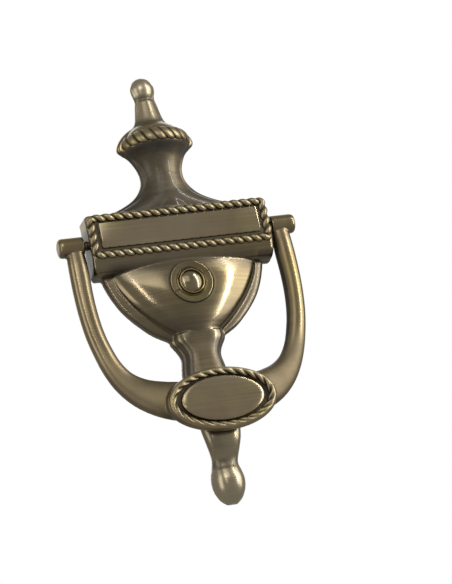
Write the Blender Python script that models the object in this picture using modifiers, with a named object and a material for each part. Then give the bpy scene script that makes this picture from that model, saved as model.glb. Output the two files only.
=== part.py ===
"""Urn door knocker with a door viewer and its through-door fixings.

Metres, +Z up the door, +X to the right as seen from outside, outside is -Y.
The origin is on the flat back of the casting, at the middle of its width, where it meets the door.
Dimensions below are in millimetres; MM turns them into metres.
"""

from math import cos, pi, sin

import bmesh
import bpy
from mathutils import Matrix, Vector

MM = 0.001

# Door and clearances
DOOR_THICKNESS = 38.0
GAP = 0.3

# Name block across the body, which also carries the hinge of the bail
BLOCK_HALF_WIDTH = 43.75
BLOCK_TOP = 41.1
BLOCK_BOTTOM = 19.5
BLOCK_FACE = 11.8
ROPE_RADIUS = 1.9
PANEL_HALF_WIDTH = 38.6
PANEL_BOTTOM = 24.4
PANEL_TOP = 36.9
PANEL_FACE = 13.0

# Bail (the swinging part) and its hinge
PIVOT_Z = 28.8
PIVOT_DEPTH = 5.2
PIN_RADIUS = 2.0
PIN_INNER_X = 37.0
PIN_OUTER_X = 54.6
BOSS_INNER_X = 45.6
BOSS_OUTER_X = 57.4
BOSS_RADIUS = 4.6
MEDALLION_Z = -55.2
MEDALLION_HALF_WIDTH = 26.3
MEDALLION_HALF_HEIGHT = 14.8
STRIKE_DEPTH = 10.9
STRIKE_RADIUS = 6.0

# Door viewer
VIEWER_Z = 4.0
VIEWER_FLANGE_RADIUS = 10.2
VIEWER_SEAT = 11.9
VIEWER_FACE = 13.8
VIEWER_TUBE_RADIUS = 6.6
VIEWER_BORE_RADIUS = 5.5
VIEWER_TUBE_END = -28.0
LENS_RADIUS = VIEWER_BORE_RADIUS - GAP
INNER_TUBE_RADIUS = VIEWER_BORE_RADIUS - GAP
INNER_TUBE_START = -9.0
EYEPIECE_RADIUS = 9.0
EYEPIECE_BORE_RADIUS = 4.3

# Posts, screws and collars
FIXING_HEIGHTS = {"upper": 50.0, "lower": 20.0}
POST_RADIUS = 2.9
POST_LENGTH = 31.5
STUB_RADIUS = 2.0
STUB_LENGTH = 5.0
TAPPED_HOLE_RADIUS = STUB_RADIUS + GAP
TAPPED_HOLE_DEPTH = 6.5
POST_BORE_DEPTH = 24.0
SCREW_RADIUS = 2.0
SCREW_LENGTH = 30.0
SCREW_HEAD_RADIUS = 3.9
SCREW_HEAD_HEIGHT = 2.7
COLLAR_RADIUS = 6.6
COLLAR_HOLE_RADIUS = 3.0
COLLAR_THICKNESS = 4.0

# Bowl: height, half-width of its rim, half-width of the dome inside the rim, depth of the dome
BOWL_STATIONS = [
    (18.0, 39.4, 36.2, 9.6),
    (12.0, 39.2, 35.6, 11.6),
    (7.0, 37.8, 34.0, 12.5),
    (2.0, 35.8, 31.4, 12.8),
    (-3.5, 32.8, 27.8, 12.6),
    (-8.5, 28.9, 23.5, 12.0),
    (-13.0, 24.6, 19.1, 11.2),
    (-17.0, 20.0, 14.4, 10.2),
    (-20.4, 14.2, 9.6, 9.4),
    (-22.5, 10.8, 8.0, 9.0),
]
RIM_THICKNESS = 4.6

# Stem, strike and tail: height, half-width, how much narrower the back is, depth, squareness of the section
STEM_STATIONS = [
    (-19.0, 12.0, 0.0, 9.6, 3.6),
    (-21.2, 12.1, 0.0, 9.6, 3.6),
    (-23.0, 11.5, 0.0, 9.5, 3.6),
    (-25.5, 9.9, 0.0, 9.4, 3.6),
    (-28.0, 8.7, 0.0, 9.3, 3.6),
    (-30.5, 8.3, 0.0, 9.2, 3.6),
    (-34.0, 8.9, 0.0, 9.1, 3.6),
    (-38.0, 9.5, 0.0, 9.1, 3.6),
    (-46.0, 10.2, 0.4, 9.4, 3.6),
    (-53.0, 10.5, 1.4, 10.2, 3.6),
    (-60.0, 10.4, 2.6, 11.0, 3.8),
    (-66.0, 9.9, 3.4, 11.6, 4.0),
    (-71.0, 9.0, 3.4, 11.4, 4.0),
    (-76.0, 7.7, 2.2, 9.8, 3.4),
    (-80.0, 6.6, 1.0, 8.0, 2.8),
    (-82.5, 6.4, 0.2, 7.6, 2.5),
    (-85.5, 7.3, 0.0, 8.6, 2.3),
    (-89.5, 7.9, 0.0, 9.4, 2.3),
    (-93.8, 7.3, 0.0, 8.6, 2.3),
    (-97.7, 5.3, 0.0, 6.6, 2.3),
    (-100.3, 2.4, 0.0, 3.4, 2.3),
]

# Flat plate behind the stem: height, half-width, thickness
STEM_PLATE_STATIONS = [
    (-17.2, 13.1, 4.9),
    (-21.2, 13.3, 4.9),
    (-23.0, 12.7, 4.9),
    (-25.5, 11.1, 4.9),
    (-28.0, 9.9, 4.9),
    (-30.5, 9.5, 4.9),
    (-34.0, 10.1, 4.9),
    (-38.0, 10.7, 4.9),
    (-46.0, 11.2, 4.9),
    (-53.0, 10.4, 4.7),
    (-57.0, 8.6, 4.2),
    (-60.0, 6.4, 3.4),
]

# Radius of the urn at each height, from the finial down to the block
URN_PROFILE = [
    (0.0, 110.3),
    (2.4, 109.8),
    (4.3, 108.3),
    (5.4, 105.9),
    (5.7, 103.5),
    (5.1, 101.1),
    (4.2, 99.3),
    (4.1, 98.4),
    (4.8, 97.5),
    (5.1, 95.6),
    (5.9, 91.7),
    (6.9, 87.8),
    (8.8, 86.4),
    (12.5, 84.0),
    (15.9, 80.4),
    (16.9, 78.2),
    (18.0, 76.8),
    (18.4, 75.4),
    (17.9, 73.9),
    (16.6, 72.9),
    (14.2, 71.0),
    (11.8, 67.8),
    (10.1, 64.2),
    (9.4, 60.6),
    (9.6, 56.0),
    (10.2, 51.0),
    (11.1, 46.0),
    (12.2, 41.5),
    (12.4, 38.0),
    (0.0, 38.0),
]
URN_DEPTH_SCALE = 0.92

# Flat plate behind the urn, flaring out to the block: height, half-width, thickness
URN_PLATE_STATIONS = [
    (108.6, 3.6, 1.6),
    (105.9, 5.5, 2.2),
    (103.5, 5.8, 2.4),
    (100.6, 5.1, 2.4),
    (98.4, 4.8, 2.6),
    (95.6, 5.4, 2.8),
    (91.7, 6.1, 2.8),
    (87.8, 7.1, 3.0),
    (85.6, 8.8, 3.2),
    (83.0, 13.0, 3.6),
    (80.4, 16.0, 4.0),
    (77.6, 18.0, 4.0),
    (75.4, 18.7, 4.0),
    (73.7, 18.2, 4.0),
    (72.0, 16.2, 4.0),
    (69.6, 13.7, 4.0),
    (66.0, 11.7, 4.0),
    (62.4, 10.5, 4.0),
    (59.4, 10.3, 4.0),
    (56.4, 10.9, 4.0),
    (53.0, 12.9, 4.0),
    (50.0, 15.8, 4.0),
    (47.6, 19.6, 4.0),
    (45.4, 24.4, 4.0),
    (43.4, 30.0, 4.0),
    (41.2, 34.0, 4.0),
]

# Rounded foot of the urn's neck, spreading over the plate to the block: height, half-width, depth
NECK_FOOT_STATIONS = [
    (63.0, 7.6, 7.4),
    (60.0, 8.9, 8.6),
    (56.4, 9.6, 9.1),
    (53.0, 11.4, 9.5),
    (50.0, 14.2, 9.8),
    (47.6, 17.9, 10.0),
    (45.4, 22.6, 10.0),
    (43.4, 27.8, 9.8),
    (41.0, 31.8, 9.4),
]

# Right arm of the bail: x, z, depth, half-width across the arm and half-thickness
ARM_STATIONS = [
    (49.8, 29.6, 5.2, 3.2, 3.0),
    (49.9, 25.0, 5.3, 4.2, 3.6),
    (50.0, 16.0, 5.5, 4.6, 3.9),
    (50.2, 6.0, 5.6, 4.5, 3.9),
    (49.9, -4.0, 5.7, 4.4, 3.9),
    (48.8, -14.0, 5.7, 4.4, 3.9),
    (46.8, -22.8, 5.8, 4.5, 3.9),
    (43.9, -31.4, 6.0, 4.8, 4.0),
    (39.6, -39.0, 6.8, 5.6, 4.2),
    (33.6, -45.2, 8.8, 7.0, 4.5),
    (26.4, -49.8, 11.8, 8.4, 4.7),
    (19.0, -52.8, 14.6, 9.2, 4.6),
    (10.0, -54.8, 16.4, 9.4, 4.2),
]


def clear_scene():
    for obj in list(bpy.data.objects):
        bpy.data.objects.remove(obj, do_unlink=True)


def collection(name):
    made = bpy.data.collections.new(name)
    bpy.context.scene.collection.children.link(made)
    return made


def metal(name, color, roughness, metallic=1.0):
    material = bpy.data.materials.new(name)
    material.use_nodes = True
    shader = material.node_tree.nodes["Principled BSDF"]
    shader.inputs["Base Color"].default_value = (*color, 1.0)
    shader.inputs["Roughness"].default_value = roughness
    shader.inputs["Metallic"].default_value = metallic
    return material


def glass(name):
    material = metal(name, (0.92, 0.96, 0.95), 0.03, 0.0)
    material.node_tree.nodes["Principled BSDF"].inputs["Transmission Weight"].default_value = 0.9
    return material


def place(x, z, depth):
    """A point at x across, z up and depth out from the door, all in millimetres."""
    return Vector((x, -depth, z)) * MM


def new_object(name, mesh, home, material=None):
    obj = bpy.data.objects.new(name, mesh)
    home.objects.link(obj)
    if material:
        mesh.materials.append(material)
    return obj


def as_cutter(obj):
    obj.hide_render = True
    obj.display_type = "WIRE"
    return obj


def smooth(mesh, angle=0.6):
    mesh.shade_smooth()
    mesh.set_sharp_from_angle(angle=angle)


def loft(name, rings, home, material=None):
    """A closed body through rings of points, with a flat end on the first and the last."""
    work = bmesh.new()
    loops = [[work.verts.new(point) for point in ring] for ring in rings]
    count = len(loops[0])
    for upper, lower in zip(loops, loops[1:]):
        for i in range(count):
            j = (i + 1) % count
            work.faces.new((upper[i], upper[j], lower[j], lower[i]))
    work.faces.new(loops[0])
    work.faces.new(reversed(loops[-1]))
    bmesh.ops.recalc_face_normals(work, faces=work.faces)
    mesh = bpy.data.meshes.new(name)
    work.to_mesh(mesh)
    work.free()
    smooth(mesh)
    return new_object(name, mesh, home, material)


def half_section(z, half_width, depth, squareness, points=22, back=0.0, narrowing=0.0):
    """A flat-backed section: a superellipse arch from one side of the back to the other.

    narrowing is how much the half-width falls towards the back, for a shape that is widest at its front.
    """
    power = 2.0 / squareness
    ring = []
    for i in range(points + 1):
        angle = pi * i / points
        side = 1 if cos(angle) > 0 else -1
        out = max(sin(angle), 0.0) ** power
        across = half_width * abs(cos(angle)) ** power * side
        across -= side * narrowing * (1 - min(out * 1.6, 1.0))
        ring.append(place(across, z, back + (depth - back) * out))
    return ring


def box(name, x_range, z_range, depth_range, home):
    work = bmesh.new()
    bmesh.ops.create_cube(work, size=1.0)
    size = [abs(b - a) * MM for a, b in (x_range, depth_range, z_range)]
    middle = place(sum(x_range) / 2, sum(z_range) / 2, sum(depth_range) / 2)
    bmesh.ops.transform(work, matrix=Matrix.Translation(middle) @ Matrix.Diagonal((*size, 1.0)),
                        verts=work.verts)
    mesh = bpy.data.meshes.new(name)
    work.to_mesh(mesh)
    work.free()
    return new_object(name, mesh, home)


def turned(name, profile, center, direction, home, material=None, steps=32):
    """A body turned around an axis through center: the profile is (radius, distance along direction).

    The profile goes from the far end of the axis to the near one, so that the surface faces out.
    """
    mesh = bpy.data.meshes.new(name)
    work = bmesh.new()
    closed = profile[0] == profile[-1]
    points = [work.verts.new((radius * MM, 0.0, along * MM))
              for radius, along in profile[: -1 if closed else None]]
    for first, second in zip(points, points[1:] + points[:1] if closed else points[1:]):
        work.edges.new((first, second))
    work.to_mesh(mesh)
    work.free()
    obj = new_object(name, mesh, home, material)
    screw = obj.modifiers.new("turn", "SCREW")
    screw.axis = "Z"
    screw.steps = steps
    screw.render_steps = steps
    screw.use_merge_vertices = True
    screw.merge_threshold = 0.00001
    screw.use_smooth_shade = True
    obj.rotation_mode = "QUATERNION"
    obj.rotation_quaternion = Vector((0.0, 0.0, 1.0)).rotation_difference(Vector(direction))
    obj.location = center
    return obj


def applied(obj, material=None):
    """Turn an object with modifiers and a placement into a plain mesh in world coordinates."""
    bpy.context.view_layer.update()
    graph = bpy.context.evaluated_depsgraph_get()
    mesh = bpy.data.meshes.new_from_object(obj.evaluated_get(graph))
    mesh.transform(obj.matrix_world)
    name = obj.name
    home = obj.users_collection[0]
    bpy.data.objects.remove(obj, do_unlink=True)
    mesh.name = name
    work = bmesh.new()
    work.from_mesh(mesh)
    bmesh.ops.remove_doubles(work, verts=work.verts, dist=1e-7)
    bmesh.ops.recalc_face_normals(work, faces=work.faces)
    work.to_mesh(mesh)
    work.free()
    made = bpy.data.objects.new(name, mesh)
    home.objects.link(made)
    if material and not mesh.materials:
        mesh.materials.append(material)
    return made


def combine(target, other, operation):
    modifier = target.modifiers.new(other.name, "BOOLEAN")
    modifier.operation = operation
    modifier.solver = "EXACT"
    modifier.object = other
    return target


def ring_profile(inner, outer, start, end, round_off=0.0):
    """Closed profile of a tube, from its far outer edge round to the same point."""
    r = round_off
    if r:
        return [(outer - r, end), (outer, end - r), (outer, start), (inner, start), (inner, end),
                (outer - r, end)]
    return [(outer, end), (outer, start), (inner, start), (inner, end), (outer, end)]


def half_space_behind(home):
    return as_cutter(box("behind_the_door_face", (-80, 80), (-120, 130), (-60, 0), home))


def urn_body(home):
    """The turned front of the urn, a little flattened; its back half is cut away with the back."""
    urn = turned("urn", URN_PROFILE, Vector((0, 0, 0)), (0, 0, 1), home, steps=40)
    urn.scale = (1.0, URN_DEPTH_SCALE, 1.0)
    return as_cutter(applied(urn))


def block_body(home):
    """The name block as one section run across the body: face, lower lip, cove below it, flat back."""
    cove = [(3.6 + 7.4 * sin(a), 18.2 - 5.8 * cos(a)) for a in (0.0, 0.35, 0.7, 1.05, 1.4)]
    section = [(-0.6, 41.5), (8.0, 41.5), (10.0, 41.4), (BLOCK_FACE - 0.7, BLOCK_TOP + 0.1)]
    section += [(BLOCK_FACE, BLOCK_TOP - 0.9), (BLOCK_FACE, BLOCK_BOTTOM + 0.9)]
    section += [(depth, z) for depth, z in reversed(cove)]
    section += [(2.4, 12.0), (-0.6, 12.0)]
    middle = (BLOCK_TOP + BLOCK_BOTTOM) / 2
    rings = []
    for x, shrink in ((43.75, 0.94), (43.3, 0.98), (42.4, 1.0), (-42.4, 1.0), (-43.3, 0.98), (-43.75, 0.94)):
        rings.append([place(x, middle + (z - middle) * shrink, depth * shrink) for depth, z in section])
    return as_cutter(loft("block", rings, home))


def flat_plate(name, stations, back, home):
    """A flat slab with nearly square edges, following a list of half-widths and thicknesses."""
    rings = [half_section(z, width, thickness, 6.0, back=back) for z, width, thickness in stations]
    return as_cutter(loft(name, rings, home))


def rope_frame(home):
    """The plain half-round bead under the twisted rope that frames the name panel: one closed tube."""
    middle_z = (BLOCK_TOP + BLOCK_BOTTOM) / 2
    half_x = BLOCK_HALF_WIDTH - ROPE_RADIUS
    half_z = (BLOCK_TOP - BLOCK_BOTTOM) / 2 - ROPE_RADIUS
    corner = 2.4
    path = []
    for turn, (sx, sz) in enumerate(((1, 1), (-1, 1), (-1, -1), (1, -1))):
        for step in range(4):
            angle = pi / 2 * turn + pi / 6 * step
            x = sx * (half_x - corner) + corner * cos(angle)
            path.append(place(x, middle_z + sz * (half_z - corner) + corner * sin(angle), BLOCK_FACE))
    curve = bpy.data.curves.new("rope_frame", "CURVE")
    curve.dimensions = "3D"
    curve.bevel_depth = ROPE_RADIUS * MM
    curve.bevel_resolution = 2
    spline = curve.splines.new("POLY")
    spline.points.add(len(path) - 1)
    for point, co in zip(spline.points, path):
        point.co = (*co, 1.0)
    spline.use_cyclic_u = True
    return as_cutter(applied(new_object("rope_frame", curve, home)))


def name_panel(home):
    panel = box("panel", (-PANEL_HALF_WIDTH, PANEL_HALF_WIDTH), (PANEL_BOTTOM, PANEL_TOP),
                (10.0, PANEL_FACE), home)
    bevel = panel.modifiers.new("edges", "BEVEL")
    bevel.width = 0.0009
    bevel.segments = 2
    return as_cutter(applied(panel))


def bore(name, radius, x_axis_range, at, direction, cutters, steps=24):
    """A straight cutter of the given radius between two distances along its axis."""
    near, far = x_axis_range
    profile = [(0.0, far), (radius, far), (radius, near), (0.0, near)]
    return as_cutter(applied(turned(name, profile, at, direction, cutters, steps=steps)))


def backplate(home, cutters, material):
    """One casting: urn, finial, name block, bowl, stem, strike and tail, hollow behind block and bowl."""
    rim_rings = [half_section(z, rim, RIM_THICKNESS, 7.0, back=-1.0) for z, rim, _, _ in BOWL_STATIONS]
    plate = loft("backplate", rim_rings, home, material)
    dome_rings = [half_section(z, dome, depth, 2.15, back=2.0) for z, _, dome, depth in BOWL_STATIONS]
    dome = as_cutter(loft("dome", dome_rings, cutters))
    urn_plate = flat_plate("urn_plate", URN_PLATE_STATIONS, -1.8, cutters)
    foot_rings = [half_section(z, width, depth, 2.1, back=-0.8) for z, width, depth in NECK_FOOT_STATIONS]
    neck_foot = as_cutter(loft("neck_foot", foot_rings, cutters))
    stem_plate = flat_plate("stem_plate", STEM_PLATE_STATIONS, -2.2, cutters)
    stem_rings = []
    for z, half_width, narrowing, depth, squareness in STEM_STATIONS:
        stem_rings.append(half_section(z, half_width, depth, squareness, points=16, back=-1.4,
                                       narrowing=narrowing))
    stem = as_cutter(loft("stem", stem_rings, cutters))
    strike_profile = [(0.0, STRIKE_DEPTH), (STRIKE_RADIUS - 0.6, STRIKE_DEPTH)]
    strike_profile += [(STRIKE_RADIUS, STRIKE_DEPTH - 0.6), (STRIKE_RADIUS, 5.0), (0.0, 5.0)]
    outward = (0, -1, 0)
    strike = as_cutter(applied(turned("strike", strike_profile, place(0, MEDALLION_Z, 0), outward, cutters,
                                      steps=24)))
    parts = [dome, block_body(cutters), urn_body(cutters), urn_plate, neck_foot, stem_plate, stem, strike]
    parts += [name_panel(cutters), rope_frame(cutters)]
    for part in parts:
        combine(plate, part, "UNION")
    combine(plate, half_space_behind(cutters), "DIFFERENCE")
    block_hollow = as_cutter(box("block_hollow", (-38.2, 38.2), (26.4, 37.2), (-5.0, 8.4), cutters))
    bowl_hollow = [half_section(z, dome - 1.0, depth - 3.2, 2.6, back=-5.0)
                   for z, _, dome, depth in BOWL_STATIONS[1:7]]
    cuts = [block_hollow, as_cutter(loft("bowl_hollow", bowl_hollow, cutters))]
    seat_depth = VIEWER_SEAT - 0.6 - GAP
    seat_radius, bore_radius = VIEWER_FLANGE_RADIUS + GAP, VIEWER_TUBE_RADIUS + GAP
    stepped = [(0.0, 30.0), (seat_radius, 30.0), (seat_radius, seat_depth), (bore_radius, seat_depth)]
    stepped += [(bore_radius, -10.0), (0.0, -10.0)]
    cuts.append(as_cutter(applied(turned("viewer_bore", stepped, place(0, VIEWER_Z, 0), outward, cutters,
                                         steps=36))))
    for name, height in FIXING_HEIGHTS.items():
        at = place(0, height, 0)
        cuts.append(bore(f"tapped_hole_{name}", TAPPED_HOLE_RADIUS, (-4.0, TAPPED_HOLE_DEPTH), at, outward,
                         cutters))
    for side in (-1, 1):
        at = place(0, PIVOT_Z, PIVOT_DEPTH)
        cuts.append(bore(f"pin_hole_{side}", PIN_RADIUS + GAP, (36.0, 50.0), at, (side, 0, 0), cutters, 20))
    for cut in cuts:
        combine(plate, cut, "DIFFERENCE")
    return plate


def arm_rings(side):
    """Oval sections square to the arm's centre line, each turned to follow it."""
    centers = [place(side * x, z, depth) for x, z, depth, _, _ in ARM_STATIONS]
    rings = []
    for i, (_, _, _, half_width, half_thickness) in enumerate(ARM_STATIONS):
        before = centers[max(i - 1, 0)]
        after = centers[min(i + 1, len(centers) - 1)]
        along = (after - before).normalized()
        across = along.cross(Vector((0, -1, 0))).normalized()
        out = across.cross(along).normalized()
        ring = []
        for k in range(16):
            angle = 2 * pi * k / 16
            ring.append(centers[i] + across * (half_width * MM * cos(angle))
                        + out * (half_thickness * MM * sin(angle)))
        rings.append(ring)
    return rings


def medallion(home):
    """The oval medallion: rim bead, recess and raised inner oval, turned and then stretched across."""
    w = MEDALLION_HALF_HEIGHT
    profile = [(0.0, 21.4), (w - 6.6, 21.2), (w - 5.0, 20.6), (w - 4.6, 19.2), (w - 4.0, 18.8),
               (w - 3.4, 20.0)]
    profile += [(w - 1.9, 20.8), (w - 0.4, 19.8), (w, 18.4), (w - 0.4, 16.2), (w - 1.6, 14.4),
                (w - 5.0, 13.4)]
    profile += [(0.0, 13.3)]
    disc = turned("medallion", profile, Vector((0, 0, 0)), (0, -1, 0), home, steps=40)
    disc = applied(disc)
    disc.scale = (MEDALLION_HALF_WIDTH / MEDALLION_HALF_HEIGHT, 1.0, 1.0)
    disc.location = place(0, MEDALLION_Z, 0)
    return as_cutter(applied(disc))


def knocker_bail(home, cutters, material):
    """The swinging U: two bored bosses, two arms and the medallion, whose stub meets the strike."""
    pivot = bpy.data.objects.new("bail_pivot", None)
    home.objects.link(pivot)
    pivot.location = place(0, PIVOT_Z, PIVOT_DEPTH)
    bail = loft("knocker_bail", arm_rings(1), home, material)
    parts = [loft("left_arm", arm_rings(-1), cutters), medallion(cutters)]
    stub = turned(
        "strike_stub", [(0.0, 17.0), (5.4, 17.0), (5.4, STRIKE_DEPTH + GAP + 0.6), (4.8, STRIKE_DEPTH + GAP),
                        (0.0, STRIKE_DEPTH + GAP)],
        place(0, MEDALLION_Z, 0), (0, -1, 0), cutters, steps=24)
    parts.append(applied(stub))
    for side in (-1, 1):
        boss = [(0.0, BOSS_OUTER_X), (BOSS_RADIUS - 1.4, BOSS_OUTER_X),
                (BOSS_RADIUS - 0.4, BOSS_OUTER_X - 0.4)]
        boss += [(BOSS_RADIUS, BOSS_OUTER_X - 1.4), (BOSS_RADIUS, BOSS_INNER_X + 0.4)]
        boss += [(BOSS_RADIUS - 0.4, BOSS_INNER_X), (0.0, BOSS_INNER_X)]
        made = turned(f"boss_{side}", boss, place(0, PIVOT_Z, PIVOT_DEPTH), (side, 0, 0), cutters, steps=24)
        parts.append(applied(made))
    for part in parts:
        combine(bail, as_cutter(part), "UNION")
    for side in (-1, 1):
        at = place(0, PIVOT_Z, PIVOT_DEPTH)
        made = bore(f"boss_bore_{side}", PIN_RADIUS + GAP, (40.0, PIN_OUTER_X + GAP), at, (side, 0, 0),
                    cutters, 20)
        combine(bail, made, "DIFFERENCE")
    bail.parent = pivot
    bail.matrix_parent_inverse = Matrix.Translation(-pivot.location)
    return bail


def pivot_pins(home, material):
    profile = [(0.0, PIN_OUTER_X), (PIN_RADIUS - 0.3, PIN_OUTER_X), (PIN_RADIUS, PIN_OUTER_X - 0.3)]
    profile += [(PIN_RADIUS, PIN_INNER_X + 0.3), (PIN_RADIUS - 0.3, PIN_INNER_X), (0.0, PIN_INNER_X)]
    for name, side in (("pivot_pin_left", -1), ("pivot_pin_right", 1)):
        turned(name, profile, place(0, PIVOT_Z, PIVOT_DEPTH), (side, 0, 0), home, material, steps=20)


def viewer(home, brass, dark, lens):
    """The door viewer, front to back: barrel with flange, ring, three lenses and two spacers, eyepiece."""
    axis = place(0, VIEWER_Z, 0)
    out = (0, -1, 0)
    inside, tube = VIEWER_BORE_RADIUS, VIEWER_TUBE_RADIUS
    flange = [(6.9, VIEWER_FACE - 0.2), (8.6, VIEWER_FACE), (VIEWER_FLANGE_RADIUS - 0.3, VIEWER_FACE - 0.5)]
    flange += [(VIEWER_FLANGE_RADIUS, VIEWER_FACE - 0.9), (VIEWER_FLANGE_RADIUS, VIEWER_SEAT - 0.6)]
    flange += [(tube, VIEWER_SEAT - 0.6), (tube, VIEWER_TUBE_END), (inside, VIEWER_TUBE_END), (inside, 10.8)]
    flange += [(6.4, 10.8), (6.4, VIEWER_FACE - 0.6), (6.9, VIEWER_FACE - 0.2)]
    turned("viewer_outer_barrel", flange, axis, out, home, brass, steps=36)
    turned("viewer_lens_ring", ring_profile(4.7, 6.1, 11.1, 14.2, 0.4), axis, out, home, brass, steps=32)
    dome = [(0.0, 12.9), (1.6, 12.7), (3.0, 12.1), (4.2, 10.9), (LENS_RADIUS, 10.6), (LENS_RADIUS, 7.6),
            (0.0, 7.0)]
    turned("viewer_objective_lens", dome, axis, out, home, lens, steps=28)
    turned("viewer_front_spacer", ring_profile(4.3, LENS_RADIUS, 4.2, 7.2), axis, out, home, dark, steps=28)
    second = [(0.0, 3.6), (2.6, 3.3), (LENS_RADIUS, 2.4), (LENS_RADIUS, 1.0), (0.0, 0.6)]
    turned("viewer_second_lens", second, axis, out, home, lens, steps=28)
    turned("viewer_rear_spacer", ring_profile(4.3, LENS_RADIUS, -2.2, 0.2), axis, out, home, dark, steps=28)
    third = [(0.0, -2.6), (2.6, -2.8), (LENS_RADIUS, -3.2), (LENS_RADIUS, -4.2), (2.6, -4.6), (0.0, -4.7)]
    turned("viewer_third_lens", third, axis, out, home, lens, steps=28)
    room = -DOOR_THICKNESS - GAP
    inside, tube = EYEPIECE_BORE_RADIUS, INNER_TUBE_RADIUS
    inner = [(inside, INNER_TUBE_START), (tube, INNER_TUBE_START), (tube, room), (EYEPIECE_RADIUS, room)]
    inner += [(EYEPIECE_RADIUS, room - 1.4), (EYEPIECE_RADIUS - 0.9, room - 2.6), (inside + 0.3, room - 2.6)]
    inner += [(inside, room - 2.3), (inside, INNER_TUBE_START)]
    turned("viewer_inner_barrel", inner, axis, out, home, brass, steps=36)
    eye = [(0.0, room + 3.4), (2.4, room + 3.1), (inside - GAP, room + 2.0), (inside - GAP, room + 0.2),
           (0.0, room)]
    turned("viewer_eyepiece_lens", eye, axis, out, home, lens, steps=24)
    turned("viewer_eyepiece_ring", ring_profile(3.1, inside - GAP, room - 1.9, room - 0.3), axis, out, home,
           dark, steps=24)


def fixings(home, post_metal, black):
    """A post screwed into the casting, and a screw and a cupped collar that draw it up from the room side."""
    out = (0, -1, 0)
    for name, height in FIXING_HEIGHTS.items():
        axis = place(0, height, 0)
        back, rear = -GAP, -GAP - POST_LENGTH
        post = [(0.0, back + STUB_LENGTH), (STUB_RADIUS - 0.4, back + STUB_LENGTH),
                (STUB_RADIUS, back + STUB_LENGTH - 0.4)]
        post += [(STUB_RADIUS, back), (POST_RADIUS, back), (POST_RADIUS, rear), (SCREW_RADIUS + GAP, rear)]
        post += [(SCREW_RADIUS + GAP, rear + POST_BORE_DEPTH), (0.0, rear + POST_BORE_DEPTH)]
        turned(f"post_{name}", post, axis, out, home, post_metal, steps=28)
        room = -DOOR_THICKNESS - GAP
        cup = COLLAR_THICKNESS
        collar = [(COLLAR_RADIUS, room), (COLLAR_RADIUS, room - 1.2), (COLLAR_RADIUS - 0.6, room - 2.0)]
        collar += [(COLLAR_RADIUS - 1.4, room - 2.2), (COLLAR_RADIUS - 1.7, room - cup),
                   (COLLAR_HOLE_RADIUS, room - cup)]
        collar += [(COLLAR_HOLE_RADIUS, room), (COLLAR_RADIUS, room)]
        turned(f"collar_{name}", collar, axis, out, home, black, steps=32)
        seat = room - cup - GAP
        tip = seat + SCREW_LENGTH
        screw = [(0.0, tip), (SCREW_RADIUS - 0.5, tip), (SCREW_RADIUS, tip - 0.6), (SCREW_RADIUS, seat)]
        screw += [(SCREW_HEAD_RADIUS, seat), (SCREW_HEAD_RADIUS, seat - 1.0),
                  (SCREW_HEAD_RADIUS - 0.9, seat - 2.1)]
        screw += [(SCREW_HEAD_RADIUS - 2.2, seat - SCREW_HEAD_HEIGHT), (0.0, seat - SCREW_HEAD_HEIGHT)]
        turned(f"screw_{name}", screw, axis, out, home, black, steps=24)


def main():
    clear_scene()
    knocker = collection("door_knocker")
    cutters = collection("cutters")
    cutters.hide_render = True
    brass = metal("antique_brass", (0.30, 0.24, 0.13), 0.32)
    turned_brass = metal("viewer_brass", (0.36, 0.29, 0.16), 0.28)
    post_metal = metal("champagne_brass", (0.55, 0.44, 0.31), 0.30)
    black = metal("black_oxide", (0.02, 0.02, 0.022), 0.42, 0.6)
    dark = metal("black_anodised", (0.03, 0.03, 0.03), 0.55, 0.5)
    lens = glass("lens_glass")
    backplate(knocker, cutters, brass)
    knocker_bail(knocker, cutters, brass)
    pivot_pins(knocker, turned_brass)
    viewer(knocker, turned_brass, dark, lens)
    fixings(knocker, post_metal, black)


main()
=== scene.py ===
"""Looks of the urn door knocker: finer castings, twisted rope edges, cut threads and brushed antique brass.

Lengths are in millimetres, and MM turns them into metres. +Z is up the door and -Y is out of it. A depth is
a distance out from the face of the door, so what stands inside the room has a negative depth.
"""

from math import cos, pi, radians, sin

import bmesh
import bpy
import numpy as np
from mathutils import Matrix, Vector


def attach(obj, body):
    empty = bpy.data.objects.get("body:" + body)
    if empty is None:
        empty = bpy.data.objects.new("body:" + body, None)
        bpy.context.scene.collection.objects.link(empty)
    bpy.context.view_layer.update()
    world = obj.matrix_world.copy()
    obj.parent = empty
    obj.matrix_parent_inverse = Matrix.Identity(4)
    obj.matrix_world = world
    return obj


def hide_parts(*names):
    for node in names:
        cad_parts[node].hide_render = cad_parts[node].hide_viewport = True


MM = 0.001

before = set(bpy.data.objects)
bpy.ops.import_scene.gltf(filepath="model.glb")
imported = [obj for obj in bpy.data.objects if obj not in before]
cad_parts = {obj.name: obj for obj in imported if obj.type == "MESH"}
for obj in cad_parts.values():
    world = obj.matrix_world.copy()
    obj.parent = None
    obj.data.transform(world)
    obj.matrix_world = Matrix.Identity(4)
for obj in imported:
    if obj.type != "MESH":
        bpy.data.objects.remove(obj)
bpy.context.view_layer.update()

# ---------------------------------------------------------------- sizes, as in the CAD

OUTWARD = (0, -1, 0)

BLOCK_HALF_WIDTH = 43.75
BLOCK_TOP = 41.1
BLOCK_BOTTOM = 19.5
BLOCK_MIDDLE = (BLOCK_TOP + BLOCK_BOTTOM) / 2
BLOCK_FACE = 11.8
ROPE_RADIUS = 1.9

PANEL_HALF_WIDTH = 38.6
PANEL_BOTTOM = 24.4
PANEL_TOP = 36.9
PANEL_FACE = 13.0

PIVOT_Z = 28.8
PIVOT_DEPTH = 5.2
PIN_HOLE_RADIUS = 2.3
BOSS_INNER_X = 45.6
BOSS_OUTER_X = 57.4
BOSS_RADIUS = 4.6

MEDALLION_Z = -55.2
MEDALLION_HALF_WIDTH = 26.3
MEDALLION_HALF_HEIGHT = 14.8

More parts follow.
